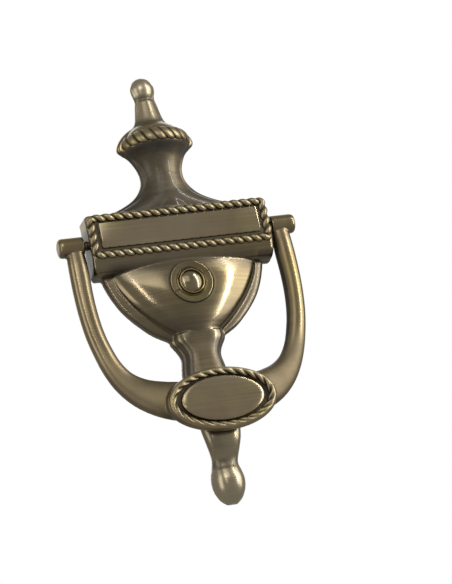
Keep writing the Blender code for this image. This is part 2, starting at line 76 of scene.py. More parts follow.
VIEWER_Z = 4.0
VIEWER_HOLE_RADIUS = 6.9
VIEWER_SEAT_RADIUS = 10.6
VIEWER_SEAT_DEPTH = 11.0

FIXING_HEIGHTS = {"upper": 50.0, "lower": 20.0}
TAPPED_HOLE_RADIUS = 2.3
TAPPED_HOLE_DEPTH = 6.5
POST_END = -31.8
THREAD_RADIUS = 2.0
THREAD_PITCH = 0.7
ROOM = -38.3

# height, half-width of the rim, half-width of the dome, depth of the dome
BOWL = [
    (18.0, 39.4, 36.2, 9.6),
    (12.0, 39.2, 35.6, 11.6),
    (7.0, 37.8, 34.0, 12.5),
    (2.0, 35.8, 31.4, 12.8),
    (-3.5, 32.8, 27.8, 12.6),
    (-8.5, 28.9, 23.5, 12.0),
    (-13.0, 24.6, 19.1, 11.2),
    (-17.0, 20.0, 14.4, 10.2),
    (-20.4, 14.2, 9.6, 9.4),
    (-22.5, 10.8, 8.0, 9.0),
]

# height, half-width, narrowing towards the back, depth, squareness
STEM = [
    (-19.0, 12.0, 0.0, 9.6, 3.6),
    (-21.2, 12.1, 0.0, 9.6, 3.6),
    (-23.0, 11.5, 0.0, 9.5, 3.6),
    (-25.5, 9.9, 0.0, 9.4, 3.6),
    (-28.0, 8.7, 0.0, 9.3, 3.6),
    (-30.5, 8.3, 0.0, 9.2, 3.6),
    (-34.0, 8.9, 0.0, 9.1, 3.6),
    (-38.0, 9.5, 0.0, 9.1, 3.6),
    (-46.0, 10.2, 0.4, 9.4, 3.6),
    (-53.0, 10.5, 1.4, 10.2, 3.6),
    (-60.0, 10.4, 2.6, 11.0, 3.8),
    (-66.0, 9.9, 3.4, 11.6, 4.0),
    (-71.0, 9.0, 3.4, 11.4, 4.0),
    (-76.0, 7.7, 2.2, 9.8, 3.4),
    (-80.0, 6.6, 1.0, 8.0, 2.8),
    (-82.5, 6.4, 0.2, 7.6, 2.5),
    (-85.5, 7.3, 0.0, 8.6, 2.3),
    (-89.5, 7.9, 0.0, 9.4, 2.3),
    (-93.8, 7.3, 0.0, 8.6, 2.3),
    (-97.7, 5.3, 0.0, 6.6, 2.3),
    (-100.3, 2.4, 0.0, 3.4, 2.3),
]

# height, half-width, thickness
STEM_PLATE = [
    (-17.2, 13.1, 4.9),
    (-21.2, 13.3, 4.9),
    (-23.0, 12.7, 4.9),
    (-25.5, 11.1, 4.9),
    (-28.0, 9.9, 4.9),
    (-30.5, 9.5, 4.9),
    (-34.0, 10.1, 4.9),
    (-38.0, 10.7, 4.9),
    (-46.0, 11.2, 4.9),
    (-53.0, 10.4, 4.7),
    (-57.0, 8.6, 4.2),
    (-60.0, 6.4, 3.4),
]

# the urn's turned outline, from the top: radius, height
URN_KNOB = [
    (0.0, 110.3),
    (2.4, 109.8),
    (4.3, 108.3),
    (5.4, 105.9),
    (5.7, 103.5),
    (5.1, 101.1),
]
URN_SPIRE = [
    (4.2, 99.5),
    (3.9, 98.7),
    (4.6, 97.9),
    (5.1, 95.6),
    (5.9, 91.7),
    (6.7, 88.2),
    (7.1, 86.6),
]
URN_SHOULDER_AND_NECK = [
    (8.2, 85.4),
    (10.8, 83.8),
    (13.2, 81.4),
    (14.8, 78.4),
    (15.7, 75.9),
    (16.2, 74.8),
    (16.3, 73.7),
    (15.5, 72.4),
    (13.8, 70.6),
    (11.6, 67.4),
    (10.1, 64.0),
    (9.4, 60.6),
    (9.6, 56.0),
    (10.2, 51.0),
    (11.1, 46.0),
    (12.2, 41.5),
    (12.4, 36.0),
]
URN_DEPTH_SCALE = 0.92

# height, half-width, thickness
URN_PLATE = [
    (108.6, 3.6, 1.6),
    (105.9, 5.5, 2.2),
    (103.5, 5.8, 2.4),
    (100.6, 5.1, 2.4),
    (98.4, 4.8, 2.6),
    (95.6, 5.4, 2.8),
    (91.7, 6.1, 2.8),
    (87.8, 7.1, 3.0),
    (85.6, 8.8, 3.2),
    (83.0, 13.0, 3.6),
    (80.4, 16.0, 4.0),
    (77.6, 18.0, 4.0),
    (75.4, 18.7, 4.0),
    (73.7, 18.2, 4.0),
    (72.0, 16.2, 4.0),
    (69.6, 13.7, 4.0),
    (66.0, 11.7, 4.0),
    (62.4, 10.5, 4.0),
    (59.4, 10.3, 4.0),
    (56.4, 10.9, 4.0),
    (53.0, 12.9, 4.0),
    (50.0, 15.8, 4.0),
    (47.6, 19.6, 4.0),
    (45.4, 24.4, 4.0),
    (43.4, 30.0, 4.0),
    (41.2, 34.0, 4.0),
]

# height, half-width, depth
NECK_FOOT = [
    (63.0, 7.6, 7.4),
    (60.0, 8.9, 8.6),
    (56.4, 9.6, 9.1),
    (53.0, 11.4, 9.5),
    (50.0, 14.2, 9.8),
    (47.6, 17.9, 10.0),
    (45.4, 22.6, 10.0),
    (43.4, 27.8, 9.8),
    (41.0, 31.8, 9.4),
]

# x, height, depth, half-width across the arm, half-thickness
ARM = [
    (49.8, 29.6, 5.2, 3.2, 3.0),
    (49.9, 25.0, 5.3, 4.2, 3.6),
    (50.0, 16.0, 5.5, 4.6, 3.9),
    (50.2, 6.0, 5.6, 4.5, 3.9),
    (49.9, -4.0, 5.7, 4.4, 3.9),
    (48.8, -14.0, 5.7, 4.4, 3.9),
    (46.8, -22.8, 5.8, 4.5, 3.9),
    (43.9, -31.4, 6.0, 4.8, 4.0),
    (39.6, -39.0, 6.8, 5.6, 4.2),
    (33.6, -45.2, 8.8, 7.0, 4.5),
    (26.4, -49.8, 11.8, 8.4, 4.7),
    (19.0, -52.8, 14.6, 9.2, 4.6),
    (10.0, -54.8, 16.4, 9.4, 4.2),
]

# medallion, from the back forwards: half-width, half-height, depth
MEDALLION = [
    (18.0, 7.6, 13.4),
    (23.6, 12.2, 13.9),
    (25.5, 14.0, 15.2),
    (26.2, 14.7, 16.8),
    (26.3, 14.8, 18.0),
    (26.0, 14.5, 19.2),
    (25.3, 13.9, 20.0),
    (22.6, 12.2, 19.8),
    (22.0, 11.7, 19.2),
    (21.4, 11.3, 18.9),
    (8.0, 4.0, 18.8),
]

# ---------------------------------------------------------------- mesh helpers


def place(x, z, depth):
    """The point at x, at height z and at a depth out from the door, in metres."""
    return Vector((x, -depth, z)) * MM


def finer(stations, steps):
    """The stations with steps rows in each gap, on a Catmull-Rom curve through them."""
    rows = np.array(stations, float)
    padded = np.vstack([2 * rows[0] - rows[1], rows, 2 * rows[-1] - rows[-2]])
    out = []
    for i in range(len(rows) - 1):
        a, b, c, d = padded[i : i + 4]
        for step in range(steps):
            t = step / steps
            out.append(0.5 * (2 * b + (c - a) * t + (2 * a - 5 * b + 4 * c - d) * t**2
                              + (3 * b - a - 3 * c + d) * t**3))
    out.append(rows[-1])
    return out


def new_object(name, data):
    """The mesh, light or camera as an object in the scene."""
    obj = bpy.data.objects.new(name, data)
    bpy.context.scene.collection.objects.link(obj)
    return obj


def skinned(name, rings, join_rings, join_ends):
    """A body whose skin runs through rings of points.

    join_rings joins the last ring to the first; join_ends joins the two ends of each ring. Where every ring
    is whole and the rings aren't joined, the first and the last ring are filled in.
    """
    rows, count = len(rings), len(rings[0])
    faces = []
    for row in range(rows if join_rings else rows - 1):
        here, there = row * count, (row + 1) % rows * count
        for i in range(count if join_ends else count - 1):
            j = (i + 1) % count
            faces.append((here + i, here + j, there + j, there + i))
    if not join_rings:
        faces.append(tuple(range(count)))
        faces.append(tuple(reversed(range(count * (rows - 1), count * rows))))
    mesh = bpy.data.meshes.new(name)
    mesh.from_pydata([tuple(point) for ring in rings for point in ring], [], faces)
    work = bmesh.new()
    work.from_mesh(mesh)
    bmesh.ops.remove_doubles(work, verts=work.verts, dist=1e-7)
    bmesh.ops.dissolve_degenerate(work, edges=work.edges, dist=1e-8)
    bmesh.ops.recalc_face_normals(work, faces=work.faces)
    work.to_mesh(mesh)
    work.free()
    mesh.shade_smooth()
    return new_object(name, mesh)


def from_rings(name, rings, closed=False):
    """A solid through rings of points; when it is closed, its last ring joins its first."""
    return skinned(name, rings, closed, True)


def half_section(z, half_width, depth, squareness, back=0.0, narrowing=0.0):
    """An arch at height z, for a body with a flat back: squareness 2 is half an ellipse and more is boxier.

    narrowing is how much each side draws in towards the back.
    """
    points = 60
    power = 2.0 / squareness
    ring = []
    for i in range(points + 1):
        angle = pi * i / points
        side = 1 if cos(angle) > 0 else -1
        out = max(sin(angle), 0.0) ** power
        across = half_width * abs(cos(angle)) ** power * side
        across -= side * narrowing * (1 - min(out * 1.6, 1.0))
        ring.append(place(across, z, back + (depth - back) * out))
    return ring


def turned(name, profile, center, direction, steps, smooth_angle=0.6, scale=None):
    """A body turned around an axis through center; profile is (radius, distance along direction)."""
    turn = Vector((0.0, 0.0, 1.0)).rotation_difference(Vector(direction)).to_matrix()
    closed = profile[0] == profile[-1]
    outline = profile[:-1] if closed else profile
    rings = []
    for k in range(steps):
        angle = 2 * pi * k / steps
        ring = []
        for radius, along in outline:
            point = turn @ Vector((radius * cos(angle), radius * sin(angle), along))
            if scale:
                point = Vector((point.x * scale[0], point.y * scale[1], point.z * scale[2]))
            ring.append(point * MM + Vector(center))
        rings.append(ring)
    made = skinned(name, rings, True, closed)
    made.data.set_sharp_from_angle(angle=smooth_angle)
    return made


def box(name, x_range, z_range, depth_range):
    """A block between two values of x, of height and of depth."""
    (left, right), (low, high) = x_range, z_range
    ring = [(left, low), (right, low), (right, high), (left, high)]
    return from_rings(name, [[place(x, z, depth) for x, z in ring] for depth in depth_range])


def baked(obj):
    """The object as a plain mesh with its modifiers applied."""
    bpy.context.view_layer.update()
    graph = bpy.context.evaluated_depsgraph_get()
    mesh = bpy.data.meshes.new_from_object(obj.evaluated_get(graph))
    mesh.transform(obj.matrix_world)
    name = obj.name
    bpy.data.objects.remove(obj, do_unlink=True)
    mesh.name = name
    return new_object(name, mesh)


def fused(name, parts, voxel, passes):
    """Overlapping closed parts melted into one body, with the soft inner corners of a casting."""
    work = bmesh.new()
    for part in parts:
        mesh = part.data
        mesh.transform(part.matrix_world)
        work.from_mesh(mesh)
        bpy.data.objects.remove(part, do_unlink=True)
    mesh = bpy.data.meshes.new(name)
    work.to_mesh(mesh)
    work.free()
    obj = new_object(name, mesh)
    remesh = obj.modifiers.new("fuse", "REMESH")
    remesh.mode = "VOXEL"
    remesh.voxel_size = voxel * MM
    remesh.use_smooth_shade = True
    soften = obj.modifiers.new("soften", "SMOOTH")
    soften.factor = 0.5
    soften.iterations = passes
    return baked(obj)


def merged(obj, others, operation, sharp_angle):
    """The object after a boolean with each of the others, which are used up by it."""
    for other in others:
        modifier = obj.modifiers.new(other.name, "BOOLEAN")
        modifier.operation = operation
        modifier.solver = "MANIFOLD"
        modifier.object = other
    made = baked(obj)
    for other in others:
        bpy.data.objects.remove(other, do_unlink=True)
    made.data.shade_smooth()
    made.data.set_sharp_from_angle(angle=sharp_angle)
    return made


def cut(obj, cutters):
    """The object with every cutter taken out of it."""
    return merged(obj, cutters, "DIFFERENCE", 0.9)


def united(first, second):
    """Two overlapping closed bodies as one, under the name of the first."""
    return merged(first, [second], "UNION", 0.6)


def bore(name, radius, span, at, direction, steps=64):
    """A round cutter between two distances along a direction."""
    near, far = span
    return turned(name, [(0.0, far), (radius, far), (radius, near), (0.0, near)], at, direction, steps)


def stood(obj, center, angle=0.0):
    """The object with its own origin at center, turned by angle about the line out of the door."""
    obj.matrix_world = Matrix.Translation(center) @ Matrix.Rotation(angle, 4, "Y")
    return obj


def painted(obj, wash_and_shade, matt=None, painted_light=None):
    """Store on each vertex how much patina wash and painted shade it has, how matt it is and how much painted
    light it has, from 0 to 1.
    """
    for name, values in (("wash_and_shade", wash_and_shade), ("matt", matt), ("painted_light", painted_light)):
        if values is not None:
            layer = obj.data.attributes.new(name, "FLOAT", "POINT")
            layer.data.foreach_set("value", np.clip(values, 0.0, 1.0))
    return obj


def rope(name, path, outward, radius, strands, lean, groove, closed=True, around=26, flat=1.0, inner=0.0):
    """A twisted rope edge along a path: rounded strands with sharp grooves that lean across it.

    outward gives, at each point of the path, the direction the front of the rope faces.
    groove is the depth of the grooves and lean their slant; flat below 1 presses the rope flatter.
    inner above 0 keeps the grooves to the side the path turns round and fades them out on the other.
    """
    count = len(path)
    lengths = [(path[(i + 1) % count] - path[i]).length for i in range(count if closed else count - 1)]
    total = sum(lengths)
    rings, wash_and_shade = [], []
    run = 0.0
    for i in range(count):
        before = path[i - 1] if closed or i else path[0]
        after = path[(i + 1) % count] if closed or i < count - 1 else path[-1]
        along = (after - before).normalized()
        front = outward[i].normalized()
        side = along.cross(front).normalized()
        front = side.cross(along).normalized()
        ring = []
        for k in range(around):
            angle = 2 * pi * k / around
            turn = angle if angle <= pi else angle - 2 * pi
            phase = 2 * pi * strands * run / total - lean * turn
            lobe = abs(cos(phase / 2)) ** 0.75
            reach = min(max((pi - abs(turn)) / 0.9, 0.0), 1.0)
            if inner:
                reach *= min(max((0.55 - sin(turn) * inner) / 1.1, 0.0), 1.0)
            size = radius * MM * (1 - groove * (1 - lobe) * reach)
            ring.append(path[i] + front * (size * cos(angle) * flat) + side * (size * sin(angle)))
            # the grooves carry patina and painted shade, and the sides of the rope turned from the front
            # carry painted shade
            hollow = min(max((0.78 + 0.12 * inner - lobe) / 0.42, 0.0), 1.0) * reach
            low = min(max((abs(turn) - 1.15) / 0.6, 0.0), 1.0)
            wash_and_shade.append(max(hollow, low * 0.8))
        rings.append(ring)
        if i < len(lengths):
            run += lengths[i]
    return painted(from_rings(name, rings, closed), wash_and_shade)


def resampled(points, spacing):
    """Points evenly spaced round the closed line through the given ones."""
    points = points + [points[0]]
    knots = [0.0]
    for a, b in zip(points, points[1:]):
        knots.append(knots[-1] + (b - a).length)
    count = int(knots[-1] / (spacing * MM))
    stops = np.linspace(0, knots[-1], count + 1)[:-1]
    columns = [np.interp(stops, knots, [point[axis] for point in points]) for axis in range(3)]
    return [Vector(row) for row in zip(*columns)]


# ---------------------------------------------------------------- materials


class Nodes:
    """Short names for building a material's node tree."""

    def __init__(self, name):
        self.material = bpy.data.materials.new(name)
        self.material.use_nodes = True
        self.tree = self.material.node_tree
        self.shader = self.tree.nodes["Principled BSDF"]

    def add(self, kind, values=None, **settings):
        """A node with its settings and its inputs; an input's value is a socket or a plain value."""
        node = self.tree.nodes.new(kind)
        for key, value in settings.items():
            setattr(node, key, value)
        for key, value in (values or {}).items():
            if isinstance(value, bpy.types.NodeSocket):
                self.tree.links.new(value, node.inputs[key])
            else:
                node.inputs[key].default_value = value
        return node

    def link(self, source, target):
        self.tree.links.new(source, target)

    def attribute(self, name):
        return self.add("ShaderNodeAttribute", attribute_name=name).outputs["Fac"]

    def open_area(self, distance, stops):
        """How open the surface is to its surroundings, from occlusion over a distance in millimetres."""
        occlusion = self.add("ShaderNodeAmbientOcclusion", {"Distance": distance * MM}, samples=8)
        return self.ramp(occlusion.outputs["AO"], stops)

    def noise(self, scale, detail, rough):
        """Noise with a scale along each axis, in cells per metre."""
        coordinates = self.add("ShaderNodeTexCoord")
        mapping = self.add("ShaderNodeMapping", {"Vector": coordinates.outputs["Object"]})
        mapping.inputs["Scale"].default_value = scale
        node = self.add("ShaderNodeTexNoise", {"Vector": mapping.outputs["Vector"], "Scale": 1.0})
        node.inputs["Detail"].default_value = detail
        node.inputs["Roughness"].default_value = rough
        return node.outputs["Fac"]

    def ramp(self, source, stops):
        """A colour ramp through (place, grey or colour) stops."""
        node = self.add("ShaderNodeValToRGB", {"Fac": source})
        elements = node.color_ramp.elements
        while len(elements) < len(stops):
            elements.new(0.5)
        for element, (at, color) in zip(elements, stops):
            element.position = at
            element.color = (*color, 1.0) if isinstance(color, tuple) else (color, color, color, 1.0)
        return node.outputs["Color"]

    def mix(self, factor, a, b, blend="MIX"):
        """Two colours mixed; each of the three is a socket, a colour or a number."""
        node = self.add("ShaderNodeMix", data_type="RGBA", blend_type=blend)
        for socket, value in ((node.inputs[0], factor), (node.inputs[6], a), (node.inputs[7], b)):
            if isinstance(value, bpy.types.NodeSocket):
                self.link(value, socket)
            elif isinstance(value, tuple):
                socket.default_value = (*value, 1.0)
            else:
                socket.default_value = value
        return node.outputs[2]

    def math(self, operation, a, b, clamp=False):
        """The result of an operation on two values, each a socket or a number."""
        node = self.add("ShaderNodeMath", operation=operation, use_clamp=clamp)
        for socket, value in zip(node.inputs, (a, b)):
            if isinstance(value, bpy.types.NodeSocket):
                self.link(value, socket)
            else:
                socket.default_value = value
        return node.outputs[0]

    def bump(self, height, strength, distance, normal=None):
        """A bumped normal, on top of another one if it is given; distance is in millimetres."""
        node = self.add("ShaderNodeBump", {"Height": height, "Strength": strength, "Distance": distance * MM})
        if normal:
            self.link(normal, node.inputs["Normal"])
        return node.outputs["Normal"]


def antique_brass(name, brush, brass=(0.335, 0.270, 0.158), dark=(0.070, 0.060, 0.046), recess=3.0,
                  streak=1.0, rough=0.19, coat=0.0):
    """Brushed brass under a dark patina wash in its recesses, and darker still where the mesh carries painted
    shade.

    brush is the scale of the brush lines along each axis, and streak is how strongly they show.
    recess is how far the search for recesses reaches, and coat is the weight of a clear lacquer.
    """
    n = Nodes(name)
    wash_and_shade = n.attribute("wash_and_shade")
    matt = n.attribute("matt")
    painted_light = n.attribute("painted_light")
    lines = n.noise(brush, 3.0, 0.6)

    # how much of the metal is open, with the patina in recesses and the painted shade broken up by noise
    broken = n.ramp(n.noise((55.0, 55.0, 90.0), 5.0, 0.65), [(0.30, 0.72), (0.66, 1.0)])
    unshaded = n.math("SUBTRACT", 1.0, n.math("MULTIPLY", wash_and_shade, broken), True)
    open_area = n.math("MULTIPLY", n.open_area(recess, [(0.25, 0.0), (0.85, 1.0)]), unshaded, True)

    # the brass itself: darker clouds, reddish and golden patches, brush lines, then the places painted paler
    # as painted light
    duller = tuple(value * shade for value, shade in zip(brass, (0.78, 0.72, 0.66)))
    redder = (brass[0] * 0.86, brass[1] * 0.70, brass[2] * 0.66)
    golden = (brass[0] * 1.06, brass[1] * 1.06, brass[2] * 0.74)
    clouds = n.ramp(n.noise((34.0, 34.0, 26.0), 5.0, 0.6), [(0.3, 0.0), (0.7, 1.0)])
    color = n.mix(clouds, brass, duller)
    red = n.ramp(n.noise((60.0, 60.0, 48.0), 3.0, 0.6), [(0.52, 0.0), (0.75, 1.0)])
    color = n.mix(n.math("MULTIPLY", red, 0.5), color, redder)
    gold = n.ramp(n.noise((26.0, 26.0, 30.0), 4.0, 0.6), [(0.50, 0.0), (0.68, 1.0)])
    color = n.mix(n.math("MULTIPLY", gold, 0.65), color, golden)
    streaks = n.ramp(lines, [(0.32, 1 - 0.14 * streak), (0.68, 1 + 0.10 * streak)])
    color = n.mix(1.0, color, streaks, "MULTIPLY")
    color = n.mix(painted_light, color, (0.56, 0.49, 0.34))
    # the dark colour where the patina and the painted shade cover the metal
    n.link(n.mix(open_area, dark, color), n.shader.inputs["Base Color"])
    n.shader.inputs["Metallic"].default_value = 1.0

    # rougher where the patina and the painted shade darken it, and where it is matt
    spread = n.math("MULTIPLY_ADD", lines, 0.08)
    spread.node.inputs[2].default_value = rough
    darkened = n.math("SUBTRACT", 1.0, open_area)
    spread = n.math("ADD", spread, n.math("MULTIPLY", darkened, 0.25), True)
    spread = n.math("ADD", spread, n.math("MULTIPLY", matt, 0.25), True)
    n.link(spread, n.shader.inputs["Roughness"])

    # brush lines, finer lines and grain in relief
    fine = n.noise(tuple(2.6 * value for value in brush), 2.0, 0.5)
    grain = n.noise((900.0, 900.0, 900.0), 3.0, 0.6)
    normal = n.bump(lines, 0.20 * streak, 0.05)
    normal = n.bump(fine, min(0.10, 0.16 * streak), 0.03, normal)
    normal = n.bump(grain, min(0.03, 0.04 * streak), 0.03, normal)
    n.link(normal, n.shader.inputs["Normal"])
    n.shader.inputs["Coat Weight"].default_value = coat
    n.shader.inputs["Coat Roughness"].default_value = 0.14
    return n.material


def plain_metal(name, color, brush, rough, metallic=1.0, shift=0.12):
    """Plain metal with faint brush lines; shift is how far they stray from the colour."""
    n = Nodes(name)
    lines = n.noise(brush, 3.0, 0.6)
    clouds = n.noise((90.0, 90.0, 90.0), 4.0, 0.6)
    low = tuple(value * (1 - shift) for value in color)
    high = tuple(min(value * (1 + shift), 1.0) for value in color)
    tone = n.mix(n.ramp(lines, [(0.3, 0.0), (0.7, 1.0)]), low, high)
    # painted shade: darker in corners and crevices, from occlusion
    open_area = n.open_area(1.2, [(0.2, 0.35), (0.8, 1.0)])
    n.link(n.mix(1.0, tone, open_area, "MULTIPLY"), n.shader.inputs["Base Color"])
    n.shader.inputs["Metallic"].default_value = metallic
    spread = n.math("MULTIPLY_ADD", clouds, 0.14)
    spread.node.inputs[2].default_value = rough - 0.05
    n.link(spread, n.shader.inputs["Roughness"])
    n.link(n.bump(lines, 0.15, 0.03), n.shader.inputs["Normal"])
    return n.material


def lens_glass(name):
    """Clear glass with a trace of smudge."""
    n = Nodes(name)
    n.shader.inputs["Base Color"].default_value = (0.96, 0.98, 0.97, 1.0)
    n.shader.inputs["Transmission Weight"].default_value = 1.0
    n.shader.inputs["IOR"].default_value = 1.49
    smudge = n.noise((400.0, 400.0, 400.0), 3.0, 0.6)
    n.link(n.ramp(smudge, [(0.4, 0.012), (0.75, 0.05)]), n.shader.inputs["Roughness"])
    n.link(n.bump(smudge, 0.03, 0.02), n.shader.inputs["Normal"])
    return n.material


def coated_lens(name):
    """The domed front lens, coloured honey brass as a painted reflection of the brass tube behind it, not
    clear.
    """
    n = Nodes(name)
    mottle = n.noise((500.0, 500.0, 500.0), 3.0, 0.6)
    n.link(n.mix(mottle, (0.16, 0.125, 0.066), (0.27, 0.22, 0.125)), n.shader.inputs["Base Color"])
    n.shader.inputs["Roughness"].default_value = 0.17
    n.shader.inputs["Metallic"].default_value = 0.85
    n.shader.inputs["Coat Weight"].default_value = 0.4
    n.shader.inputs["Coat Roughness"].default_value = 0.04
    n.link(n.bump(mottle, 0.05, 0.03), n.shader.inputs["Normal"])
    return n.material


def dress(obj, material, body, nodes):
    """Give a piece its material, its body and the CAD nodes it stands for."""
    obj.data.materials.clear()
    obj.data.materials.append(material)
    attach(obj, body)
    if nodes:
        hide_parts(*nodes)


def dress_node(name, material):
    """Give a CAD node, shown as it is, its material."""
    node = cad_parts[name]
    for entry in node.material_slots:
        entry.material = material
    if not node.material_slots:
        node.data.materials.append(material)


# ---------------------------------------------------------------- painted shade, painted light and patina wash


def ease(value, low, high):
    """0 below low, 1 above high and smooth between; low may be above high."""
    t = np.clip((value - low) / (high - low), 0.0, 1.0)
    return t * t * (3 - 2 * t)


def between(value, low_out, low_in, high_in, high_out):
    """1 from low_in to high_in, and smoothly down to 0 at low_out and at high_out."""
    return ease(value, low_out, low_in) * ease(value, high_out, high_in)


def surface(obj):
    """x, height and depth of every vertex in millimetres, and the same three parts of its normal."""
    mesh = obj.data
    co = np.empty(len(mesh.vertices) * 3)
    mesh.vertices.foreach_get("co", co)
    co = co.reshape(-1, 3) / MM
    normal = np.empty(len(mesh.vertices) * 3)
    mesh.vertex_normals.foreach_get("vector", normal)
    normal = normal.reshape(-1, 3)
    return (co[:, 0], co[:, 2], -co[:, 1]), (normal[:, 0], normal[:, 2], -normal[:, 1])


# a patch of painted shade, patina wash and painted light is a product of eased limits on the place, in
# millimetres, and on the normal nx, nz, nd


def block_wash_and_shade(x, z, depth, nx, nz):
    """Patina and painted shade in the channel round the name panel; painted shade on the ends of the block
    and in the cove below it.
    """
    channel = 0.9 * between(z, 20.0, 21.5, 39.2, 40.6) * ease(abs(x), 43.0, 41.5) * ease(depth, 11.0, 11.6)
    end = 0.85 * ease(abs(nx), 0.6, 0.9) * ease(abs(x), 42.8, 43.4) * ease(z, 38.0, 33.0)
    cove = between(z, 11.0, 12.5, 18.5, 21.0) * ease(nz, 0.1, -0.3) * (0.40 + 0.52 * ease(z, 18.5, 14.5))
    cove *= (0.3 + 0.7 * ease(x, -41.0, -33.0)) * (1.0 - 0.9 * ease(x, -8.0, 22.0))
    return [channel, end, cove]


def urn_wash_and_shade(x, z, nz):
    """Painted shade on the neck, darker on the left, under the lip of the shoulder and at the foot of the
    neck; patina and painted shade in the grooves round the finial.
    """
    neck = between(z, 41.0, 50.0, 71.0, 75.0) * (0.85 - 0.42 * ease(x, -1.0, 6.0))
    under_lip = between(z, 64.0, 70.0, 73.4, 74.6) * ease(nz, 0.0, -0.4)
    foot = between(z, 41.0, 42.5, 49.0, 57.0)
    finial = 0.8 * between(z, 97.5, 99.0, 99.5, 101.5) + 0.7 * between(z, 85.0, 86.2, 87.0, 90.0)
    return [neck, under_lip, foot, finial]


def bowl_shade(x, z, depth, nd):
    """Painted shade round the viewer, under the block, on faces turned sideways, on the rim beside the dome,
    more on the right, and low on the bowl, more on the left.
    """
    viewer_gap = 0.95 * ease(np.hypot(x, z - VIEWER_Z), 12.0, 10.9) * ease(depth, 10.6, 11.2)
    shadow = 0.6 * between(z, 5.5, 12.0, 17.0, 19.0) * ease(depth, 12.4, 11.2) * ease(abs(x), 36.0, 33.0)
    low = between(z, -23.0, -20.5, -16.0, 4.0) * (0.75 - 0.35 * ease(x, -4.0, 10.0))
    sides = 0.55 * between(z, -50.0, -40.0, 17.0, 19.0) * ease(nd, 0.8, 0.35)
    upwards = BOWL[::-1]
    dome_edge = np.interp(z, [row[0] for row in upwards], [row[2] for row in upwards])
    rim = ease(abs(x) - dome_edge, -1.6, 0.2) * between(z, -22.0, -19.0, 15.0, 17.0)
    return [viewer_gap, shadow, low, sides, rim * np.where(x > 0, 0.8, 0.35)]


def stem_wash_and_shade(x, z):
    """Painted shade on the stem, most on the right and also on its left edge, and on the left of the tail;
    patina and painted shade on the waist above the tail's knob.
    """
    sides = 0.32 + 0.60 * ease(x, 2.5, 5.0) + 0.5 * ease(x, -3.5, -6.0)
    stem = between(z, -60.0, -52.0, -24.0, -21.0) * sides
    tail = between(z, -80.0, -74.0, -62.0, -56.0) * (0.35 - 0.3 * ease(x, -3.0, 3.0))
    waist = 0.7 * between(z, -85.0, -82.5, -81.5, -79.0)
    return [stem, tail, waist]


def casting_shade_and_light(obj):
    """The patina wash and painted shade, the matt places and the painted light of the casting."""
    (x, z, depth), (nx, nz, nd) = surface(obj)
    wash_and_shade = block_wash_and_shade(x, z, depth, nx, nz) + urn_wash_and_shade(x, z, nz) + bowl_shade(x, z, depth, nd) + stem_wash_and_shade(x, z)

    matt = (ease(z, 76.0, 72.0) + 0.7 * ease(z, 80.0, 84.0)) * ease(z, 38.0, 41.5)
    matt += 0.3 * between(z, -78.0, -74.0, -26.0, -23.0) + 0.5 * ease(z, -78.0, -82.0)

    # painted light: the cone and finial painted paler, most at the top and less on the right, and the tail
    # and its knob paler too
    painted_light = (0.36 + 0.25 * ease(z, 98.0, 101.0) - 0.2 * ease(x, 0.5, 4.0)) * ease(z, 84.0, 88.0)
    painted_light += 0.3 * between(z, -84.0, -80.0, -64.0, -58.0) + 0.45 * ease(z, -80.0, -84.0)
    return painted(obj, np.maximum.reduce(wash_and_shade), matt, painted_light)


def bail_wash_and_shade(obj):
    """The patina wash and painted shade, and the matt places, of the bail."""
    (x, z, depth), (nx, _, nd) = surface(obj)
    from_middle = np.hypot(x / MEDALLION_HALF_WIDTH, (z - MEDALLION_Z) / MEDALLION_HALF_HEIGHT)
    inward = -nx * np.sign(x)

    # painted shade, with patina in the medallion's channel: round the medallion, on the inner faces of the
    # arms, faintly on front faces, low on both arms and at the roots of the bosses
    channel = ease(from_middle, 0.93, 0.88) * ease(depth, 17.5, 18.5)
    round_medallion = 0.75 * ease(from_middle, 1.25, 1.02) * ease(depth, 17.5, 15.5)
    inner_faces = np.maximum(0.6 * ease(inward, 0.10, 0.60), ease(inward, 0.50, 0.85)) * ease(z, 26.0, 20.0)
    fronts = 0.08 * ease(nd, 0.5, 0.85) * ease(z, 24.0, 10.0) * ease(from_middle, 1.0, 1.2)
    low_left = 0.45 * ease(z, -26.0, -42.0) * ease(x, -10.0, -24.0) * ease(depth, 2.0, 6.0)
    low_right = 0.5 * ease(z, -20.0, -34.0) * ease(x, 14.0, 26.0)
    boss_roots = 0.4 * between(z, 18.0, 23.0, 25.0, 27.0)
    wash_and_shade = [channel, round_medallion, inner_faces, fronts, low_left, low_right, boss_roots]

    matt = np.maximum(0.6 * ease(z, -18.0, -32.0), ease(inward, 0.05, 0.5) * ease(z, 26.0, 20.0))
    return painted(obj, np.maximum.reduce(wash_and_shade), matt)


# ---------------------------------------------------------------- the casting


def urn_turned():
    """The rounded front of the urn: the turned profile, flattened a little and cut flat at the back."""
    profile = []
    for run in (URN_KNOB, URN_SPIRE, URN_SHOULDER_AND_NECK):
        profile += [tuple(row) for row in finer(run, 4)]
    profile.append((0.0, URN_SHOULDER_AND_NECK[-1][1]))
    urn = turned("urn_turned", profile, Vector((0, 0, 0)), (0, 0, 1), 120, scale=(1.0, URN_DEPTH_SCALE, 1.0))
    return cut(urn, [box("behind", (-60, 60), (20, 130), (-40, 0.4))])


